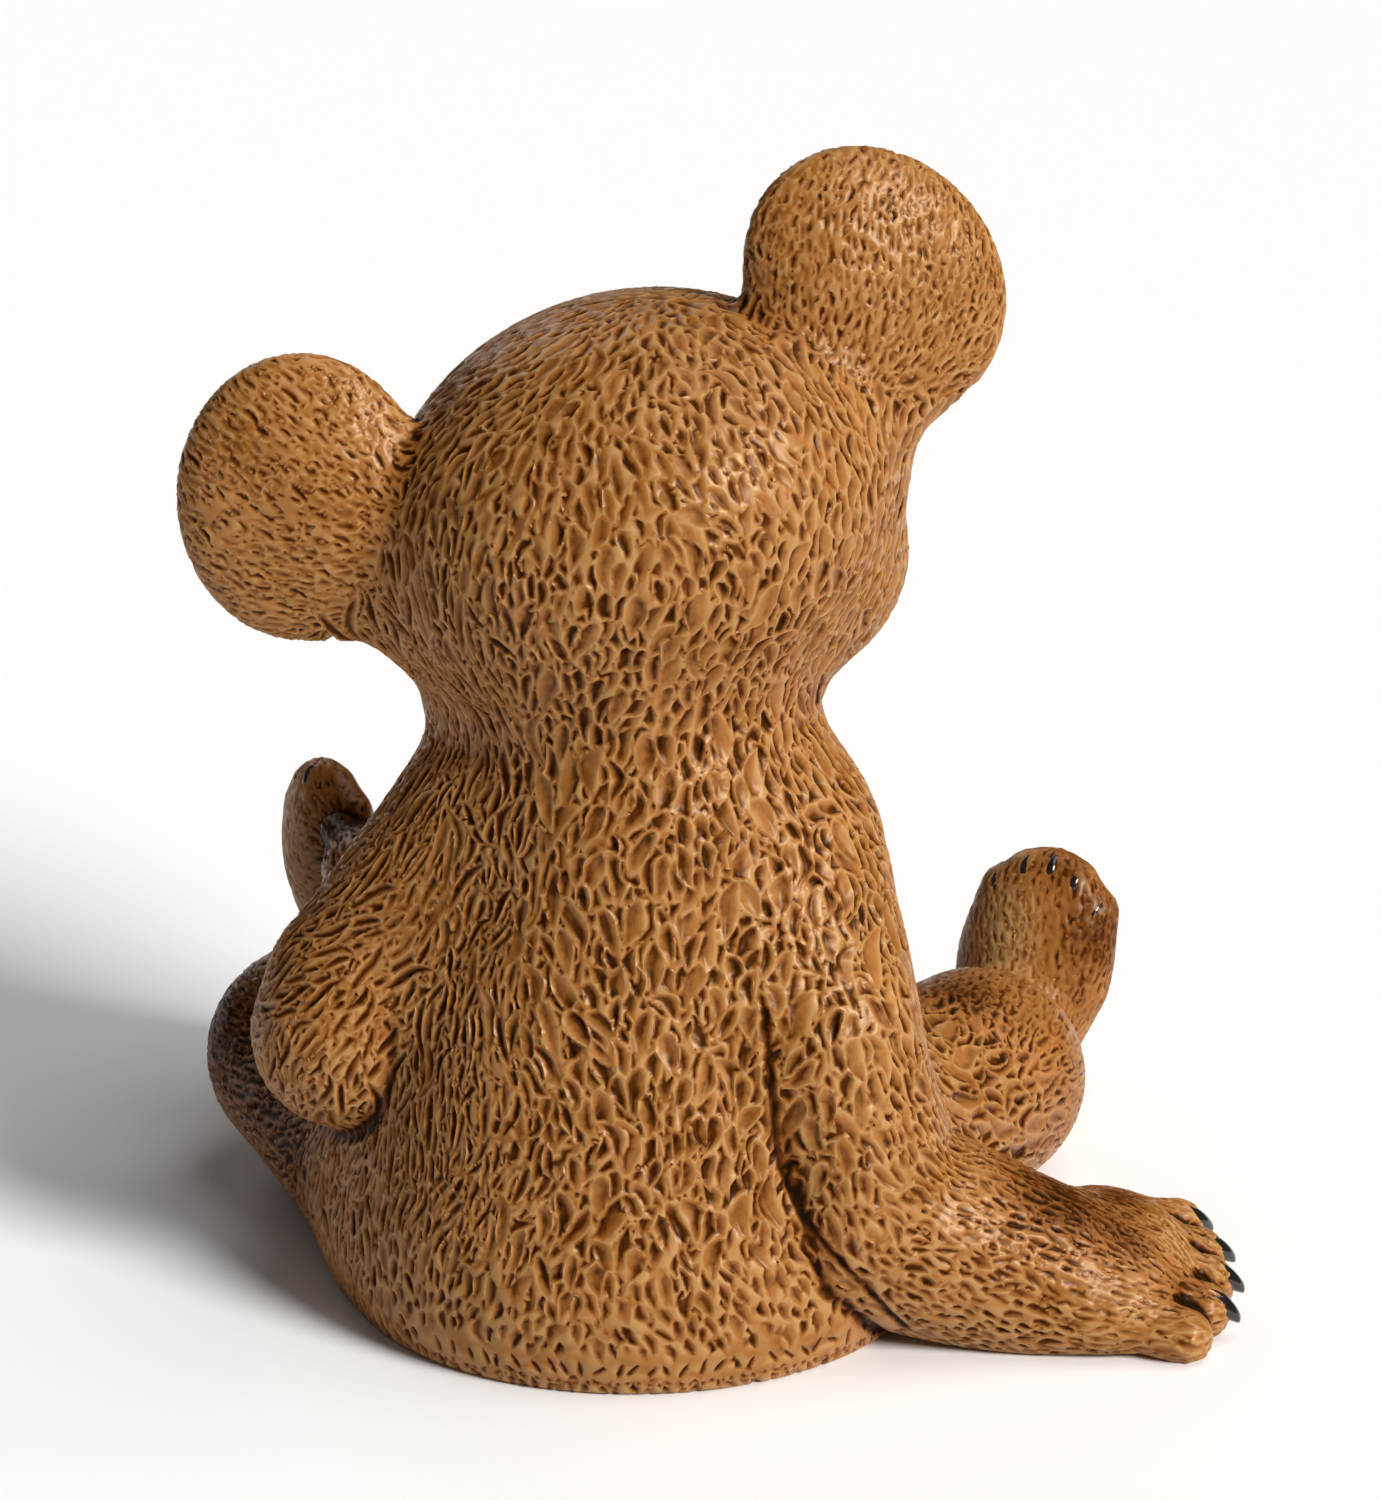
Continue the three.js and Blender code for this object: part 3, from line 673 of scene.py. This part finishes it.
def cut_rump_marks(relief):
    """The rows of shallow strokes on the smooth band low on the rump."""
    for z, count, long, wide, deep in MARK_ROWS:
        for i in range(count):
            x = -28 + 60 * (i + rng.uniform(-0.25, 0.25)) / count
            line = np.column_stack([np.full(400, x), np.linspace(-60, 0, 400), np.full(400, z)])
            y = line[np.argmax(field(line) < 0), 1]
            at = np.array([[x, y, z + rng.uniform(-0.3, 0.3)]])
            out = slope(at)
            way = along_skin(np.array([[rng.normal(0, 0.6), 0, 1.0]]), out)
            relief.stroke(at[0], way[0], out[0], long, wide, deep, rim=0.02, lean=0.3, dark=0.9)


def cavity(skin, points, normals, rounds):
    """How far each point lies below the average of its neighbours, in millimetres."""
    edges = np.empty(len(skin.data.edges) * 2, np.int32)
    skin.data.edges.foreach_get("vertices", edges)
    a, b = edges.reshape(-1, 2).T
    count = np.bincount(a, minlength=len(points)) + np.bincount(b, minlength=len(points))
    smooth = points.copy()
    for _ in range(rounds):
        total = np.zeros_like(smooth)
        for axis in range(3):
            total[:, axis] = np.bincount(a, smooth[b, axis], len(points))
            total[:, axis] += np.bincount(b, smooth[a, axis], len(points))
        smooth = total / np.maximum(count, 1)[:, None]
    return ((smooth - points) * normals).sum(axis=1)


# Soft stains and painted shade: where each lies, how far it spreads, and how dark it is, or below 0 how
# pale.
# Stains on the right wrist, hand and foot, a darkening of the right knee, and painted shade on the left leg
# and hand.
STAINS_AND_SHADE = (
    ((55, -20, 19), 8, 0.65),
    ((64, -11, 16), 4, 0.5),
    ((65, -21, 14), 4, 0.45),
    ((72, -24, 8), 3.5, 0.45),
    ((64, 58, 27), 8, 0.6),
    ((60, 61, 37), 4, 0.4),
    ((51, 56, 26), 8, -0.4),
    ((69, -18, 12), 6, -0.2),
    ((44, 28, 30), 6, 0.5),
    ((52, 32, 16), 14, 0.14),
    # Painted shade: a dark band along the left leg under the left arm, and a dark patch on the left hand.
    ((-49, 6, 17), 9, 0.5),
    ((-54, 18, 21), 11, 0.5),
    ((-61, 31, 24), 11, 0.6),
    ((-57, 44, 24), 9, 0.35),
    ((-43, 52, 43), 9, 1.0),
)


def wash_and_painted_shade(relief, hollow, fold):
    """How dark the wash and the painted shade are: wash in strokes and hollows, wash and painted shade
    in the folds, stains, painted shade on the left leg and hand, and ridges that are paler, partly
    dry-brushed and partly painted highlight.
    """
    # Ridges are paler: dry-brushed paint, and partly a painted highlight on rims that catch the light.
    wash_and_shade = 0.9 * relief.wash_and_shade + 0.8 * ramp(hollow, 0.035, 0.17) - 0.22 * ramp(-hollow, 0.03, 0.12)
    # The folds between lumps are darkened: wash, and painted shade.
    wash_and_shade += 0.5 * fold
    for place, reach, strength in STAINS_AND_SHADE:
        wash_and_shade += strength * np.exp(-(far_from(relief.points, np.array(place)) / reach) ** 2)
    return np.clip(wash_and_shade, -0.4, 1)


def carved_skin():
    """The skin with its fur cut and thinned zone by zone, inside the solid's box."""
    skin = melted_skin()
    points, normals = points_of(skin), normals_of(skin)
    relief = Relief(points, normals)
    fold = ramp(cavity(skin, points, normals, FOLD_ROUNDS), 0.03, 0.12)
    cut_fur(relief)
    cut_face(relief)
    cut_rump_marks(relief)
    cut_crease(relief)
    shaped = points + normals * (relief.high * (1 - 0.5 * fold) - 0.35 * fold)[:, None]
    put_points(skin, shaped)
    wash_and_shade = wash_and_painted_shade(relief, cavity(skin, shaped, normals, HOLLOW_ROUNDS), fold)
    finished(skin, "TRIANGULATE")
    mark(skin, "zone", zones(points, normals))
    for zone, triangles in enumerate((REST_TRIANGLES, HIDDEN_TRIANGLES, EAR_TRIANGLES, PAW_TRIANGLES)):
        thinned(skin, np.round(marked(skin, "zone")) == zone, triangles)
    skin.data.attributes.remove(skin.data.attributes["zone"])
    # Each vertex keeps how dark the wash and the painted shade are there, or how pale the ridges.
    mark(skin, "wash_and_shade", wash_and_shade[nearest(skin, shaped)])
    low, high = (np.array(corner) / MM for corner in cad_box)
    put_points(skin, np.clip(points_of(skin), low, high))
    return skin


def zones(p, n):
    """1 on the side away from the camera, 2 on the ears, 3 on the paws and 0 elsewhere."""
    zone = np.zeros(len(p))
    for side in SIDES:
        zone[far_from(p, spot(HEAD, (side * 41, -2, 20))) < 22] = 2
    for where in (RIGHT_HAND, RIGHT_FOOT, LEFT_FOOT):
        zone[far_from(p, spot(where, (0, 14, 0))) < 22] = 3
    zone[n @ TOWARDS_CAMERA < 0.05] = 1
    return zone


def mark(skin, name, values):
    """Keeps one value on each vertex of the skin."""
    attributes = skin.data.attributes
    attribute = attributes.get(name) or attributes.new(name, "FLOAT", "POINT")
    attribute.data.foreach_set("value", values.astype(np.float32))


def marked(skin, name):
    """The value kept on each vertex of the skin."""
    values = np.empty(len(skin.data.vertices), np.float32)
    skin.data.attributes[name].data.foreach_get("value", values)
    return values


def nearest(skin, points):
    """For each vertex of the thinned skin, which of the former points it lies nearest to."""
    tree = KDTree(len(points))
    for i, p in enumerate(points):
        tree.insert(p, i)
    tree.balance()
    return [tree.find(p)[1] for p in points_of(skin)]


def thinned(skin, chosen, triangles):
    """Thins the chosen part of the mesh to about this many triangles."""
    only(skin)
    mesh = skin.data
    mesh.polygons.foreach_set("select", np.zeros(len(mesh.polygons), bool))
    mesh.edges.foreach_set("select", np.zeros(len(mesh.edges), bool))
    mesh.vertices.foreach_set("select", chosen)
    bpy.ops.object.mode_set(mode="EDIT")
    bpy.ops.mesh.select_mode(type="VERT")
    count = sum(f.select for f in bmesh.from_edit_mesh(mesh).faces)
    bpy.ops.mesh.decimate(ratio=min(triangles / count, 1))
    bpy.ops.object.mode_set(mode="OBJECT")


# Claws, eyes and nose, in gloss black.

def selected_where(chosen):
    """In edit mode, selects the vertices for which chosen(place) is true."""
    mesh = bmesh.from_edit_mesh(bpy.context.object.data)
    for v in mesh.verts:
        v.select = bool(chosen(v.co))
    mesh.select_flush_mode()
    bmesh.update_edit_mesh(bpy.context.object.data)


def claw():
    """One claw of unit length along +Y: a ring drawn out along a hook and closed at the tip.

    Each step moves the ring forward and down, and narrows it.
    """
    bpy.ops.mesh.primitive_circle_add(vertices=10, radius=CLAW_ROOT, fill_type="NGON",
                                      location=(0, -0.3, 0), rotation=(math.pi / 2, 0, 0))
    only(bpy.context.object)
    bpy.ops.object.transform_apply()
    bpy.ops.object.mode_set(mode="EDIT")
    bpy.ops.mesh.select_all(action="SELECT")
    y, z = -0.3, 0.0
    for forward, drop, narrow in (
        (0.25, -0.01, 1.0), (0.25, -0.05, 0.86), (0.2, -0.09, 0.8), (0.17, -0.11, 0.7), (0.09, -0.08, 0.55),
    ):
        y, z = y + forward, z + drop
        bpy.ops.mesh.extrude_region_move(TRANSFORM_OT_translate={"value": (0, forward, drop)})
        bpy.ops.transform.resize(value=(narrow, 1, narrow), center_override=(0, y, z))
    bpy.ops.mesh.select_all(action="SELECT")
    bpy.ops.mesh.normals_make_consistent(inside=False)
    bpy.ops.object.mode_set(mode="OBJECT")
    shape = bpy.context.object
    finished(shape, "SUBSURF", levels=2, render_levels=2)
    return shape


def claws():
    """A claw on every nail bed, joined into one mesh."""
    model = claw()
    copies = []
    for where, long, wide in nail_beds:
        copy = model.copy()
        copy.data = model.data.copy()
        bpy.context.collection.objects.link(copy)
        girth = wide / CLAW_ROOT
        copy.matrix_world = Matrix.Scale(MM, 4) @ where @ Matrix.Diagonal((girth, long, girth, 1))
        copies.append(copy)
    bpy.data.objects.remove(model)
    only(*copies)
    bpy.ops.object.join()
    bpy.ops.object.transform_apply()
    return bpy.context.object


def eyes():
    """Two balls set into the face, each slightly raised in front."""
    balls = []
    for side in SIDES:
        x, y, z = on_face(side * EYE_ASIDE, EYE_HEIGHT)
        centre = spot(HEAD, (x, y - EYE_RADIUS * 0.45, z))
        bpy.ops.mesh.primitive_uv_sphere_add(
            segments=32, ring_count=20, radius=EYE_RADIUS * MM, location=centre * MM,
            rotation=(HEAD.to_3x3() @ Euler((-math.pi / 2, 0, 0)).to_matrix()).to_euler(),
        )
        ball = bpy.context.object
        bpy.ops.object.mode_set(mode="EDIT")
        selected_where(lambda co: co.z > EYE_RADIUS * MM * 0.8)
        forward = np.array(HEAD.to_3x3().col[1]) * 0.18 * MM
        bpy.ops.transform.translate(value=forward)
        bpy.ops.object.mode_set(mode="OBJECT")
        balls.append(ball)
    only(*balls)
    bpy.ops.object.join()
    bpy.ops.object.transform_apply()
    return bpy.context.object


def nose():
    """A nose pad that is broad above and narrow below, with two nostrils pressed in."""
    _, tip, _ = on_face(0, NOSE_HEIGHT)
    bpy.ops.mesh.primitive_uv_sphere_add(segments=28, ring_count=18, radius=1)
    pad = bpy.context.object
    bpy.ops.object.mode_set(mode="EDIT")
    selected_where(lambda co: co.z < -0.2)
    bpy.ops.transform.resize(value=(0.72, 0.9, 1), center_override=(0, 0, 0))
    for side in SIDES:
        selected_where(lambda co: (co.x - side * 0.45) ** 2 + (co.z + 0.12) ** 2 < 0.03 and co.y > 0)
        bpy.ops.transform.translate(value=(0, -0.35, 0.05))
    bpy.ops.object.mode_set(mode="OBJECT")
    only(pad)
    place = HEAD @ turned((0, tip - 2.4, NOSE_HEIGHT), (8, 0, 0))
    pad.matrix_world = Matrix.Scale(MM, 4) @ place @ Matrix.Diagonal((7.4, 4, 4.6, 1))
    bpy.ops.object.transform_apply()
    finished(pad, "SUBSURF", levels=1, render_levels=1)
    return pad


# Finishes.

def colour(hex_code):
    """An sRGB hex colour as linear numbers."""
    parts = [int(hex_code[i:i + 2], 16) / 255 for i in (1, 3, 5)]
    return [v / 12.92 if v <= 0.04045 else ((v + 0.055) / 1.055) ** 2.4 for v in parts] + [1]


def add_node(tree, kind, inputs=(), **settings):
    """Adds one node with its settings. Each input is a plain value or another node's output."""
    node = tree.nodes.new("ShaderNode" + kind)
    for name, value in settings.items():
        setattr(node, name, value)
    for name, value in dict(inputs).items():
        if isinstance(value, bpy.types.NodeSocket):
            tree.links.new(value, node.inputs[name])
        else:
            node.inputs[name].default_value = value
    return node


def new_finish(name, **values):
    """A material with constant values on its shader."""
    material = bpy.data.materials.new(name)
    material.use_nodes = True
    shader = material.node_tree.nodes["Principled BSDF"]
    for key, value in values.items():
        shader.inputs[key.replace("_", " ")].default_value = value
    return material, material.node_tree, shader


def painted_resin():
    """Cast polyester resin, painted ochre, washed with dark brown and varnished satin.

    The ochre is paler on the ridges, partly as dry-brushed paint and partly as painted highlight. The wash
    and the painted shade are amber where thin, near black where thick, and dull the varnish.
    """
    material, tree, shader = new_finish("painted_resin", Roughness=0.33, Specular_Tint=colour("#F8E4C6"))
    place = add_node(tree, "TexCoord").outputs["Object"]
    patch = add_node(tree, "TexNoise", {"Vector": place, "Scale": 1 / (9 * MM), "Detail": 4.0})
    speck = add_node(tree, "TexNoise", {"Vector": place, "Scale": 1 / (0.9 * MM), "Detail": 3.0})
    # The attribute holds the wash, the painted shade, and the paler ridges that are partly painted
    # highlight.
    wash_and_shade = add_node(tree, "Attribute", attribute_name="wash_and_shade").outputs["Fac"]
    mottle = add_node(tree, "MapRange", {"Value": patch.outputs["Fac"], "From Min": 0.3, "From Max": 0.7})
    ochre = add_node(tree, "Mix", data_type="RGBA", inputs={
        0: mottle.outputs[0], 6: colour("#8A5520"), 7: colour("#A06936")})
    worn = add_node(tree, "MapRange", {"Value": speck.outputs["Fac"], "From Min": 0.35, "From Max": 0.7,
                                       "To Min": -0.08, "To Max": 0.1})
    amount = add_node(tree, "Math", {0: wash_and_shade, 1: worn.outputs[0]}, operation="ADD", use_clamp=True)
    bare = add_node(tree, "MapRange", {"Value": wash_and_shade, "From Min": 0.0, "From Max": -0.35})
    thin = add_node(tree, "MapRange", {"Value": amount.outputs[0], "From Min": 0.05, "From Max": 0.55})
    thick = add_node(tree, "MapRange", {"Value": amount.outputs[0], "From Min": 0.5, "From Max": 1.0})
    # Paler ridges: dry-brushed paint and partly painted highlight.
    ridges = add_node(tree, "Mix", data_type="RGBA", inputs={
        0: bare.outputs[0], 6: ochre.outputs[2], 7: colour("#B68F5C")})
    amber = add_node(tree, "Mix", data_type="RGBA", inputs={
        0: thin.outputs[0], 6: ridges.outputs[2], 7: colour("#572B06")})
    brown = add_node(tree, "Mix", data_type="RGBA", inputs={
        0: thick.outputs[0], 6: amber.outputs[2], 7: colour("#170A01")})
    sheen = add_node(tree, "MapRange", {"Value": amount.outputs[0], "From Min": 0.2, "From Max": 0.8,
                                        "To Min": 0.28, "To Max": 0.04})
    tree.links.new(brown.outputs[2], shader.inputs["Base Color"])
    tree.links.new(sheen.outputs[0], shader.inputs["Specular IOR Level"])
    grain = add_node(tree, "Bump", {"Height": speck.outputs["Fac"], "Strength": 0.25, "Distance": 0.05 * MM})
    tree.links.new(grain.outputs[0], shader.inputs["Normal"])
    return material


def black_enamel():
    """Gloss black enamel, brushed on thick, which gives small sharp highlights."""
    material, tree, shader = new_finish("black_enamel", Roughness=0.16,
                                        Coat_Weight=0.6, Coat_Roughness=0.06)
    place = add_node(tree, "TexCoord").outputs["Object"]
    flow = add_node(tree, "TexNoise", {"Vector": place, "Scale": 1 / (1.2 * MM), "Detail": 2.0})
    tint = add_node(tree, "Mix", data_type="RGBA", inputs={
        0: flow.outputs["Fac"], 6: colour("#0B0908"), 7: colour("#1E1713")})
    tree.links.new(tint.outputs[2], shader.inputs["Base Color"])
    bump = add_node(tree, "Bump", {"Height": flow.outputs["Fac"], "Strength": 0.3, "Distance": 0.06 * MM})
    tree.links.new(bump.outputs[0], shader.inputs["Normal"])
    return material


def dressed(piece, name, material):
    """Names a piece, gives it its finish and lets it ride the part."""
    piece.name = piece.data.name = name
    piece.data.materials.clear()
    piece.data.materials.append(material)
    only(piece)
    bpy.ops.object.shade_smooth_by_angle(angle=math.radians(65))
    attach(piece, "root")
    return piece


# The bear.

trunk()
arms()
legs()
head()
ears()
paws()
enamel = black_enamel()
bear = dressed(carved_skin(), "bear_cast", painted_resin())
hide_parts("bear")
dressed(claws(), "claws", enamel)
dressed(eyes(), "eyes", enamel)
dressed(nose(), "nose", enamel)


# Floor, light and camera.

def studio():
    """A pale floor, a pale room and three soft lamps: where each is, its spread and its strength."""
    bpy.ops.mesh.primitive_plane_add(size=12)
    floor = bpy.context.object
    floor.name = "floor"
    material, _, _ = new_finish("pale_floor", Base_Color=colour("#F8F7F5"), Roughness=0.9)
    floor.data.materials.append(material)
    world = bpy.data.worlds.new("studio")
    world.use_nodes = True
    world.node_tree.nodes["Background"].inputs["Color"].default_value = (1, 1, 1, 1)
    world.node_tree.nodes["Background"].inputs["Strength"].default_value = 0.08
    bpy.context.scene.world = world
    bpy.context.scene.view_settings.view_transform = "Standard"
    for name, place, spread, power in (
        ("key", (700, -600, 560), 20, 4.0),
        ("top", (400, 60, 900), 50, 1.0),
        ("front", (-300, 800, 400), 25, 0.25),
    ):
        lamp = bpy.data.lights.new(name, "SUN")
        lamp.angle, lamp.energy = math.radians(spread), power
        lamp_object = bpy.data.objects.new(name, lamp)
        bpy.context.collection.objects.link(lamp_object)
        lamp_object.location = Vector(place) * MM
        lamp_object.rotation_euler = Vector(place).to_track_quat("Z", "Y").to_euler()


def photographed():
    """The photograph's view, from behind and a little above."""
    lens = bpy.data.cameras.new("camera")
    lens.sensor_fit, lens.sensor_height, lens.lens = "VERTICAL", 36, VIEW_LENS
    camera = bpy.data.objects.new("camera", lens)
    bpy.context.collection.objects.link(camera)
    camera.location = (Vector(VIEW_TARGET) + Vector(TOWARDS_CAMERA) * VIEW_DISTANCE) * MM
    camera.rotation_euler = (math.pi / 2 - VIEW_TILT, 0, 0)
    bpy.context.scene.camera = camera


studio()
photographed()
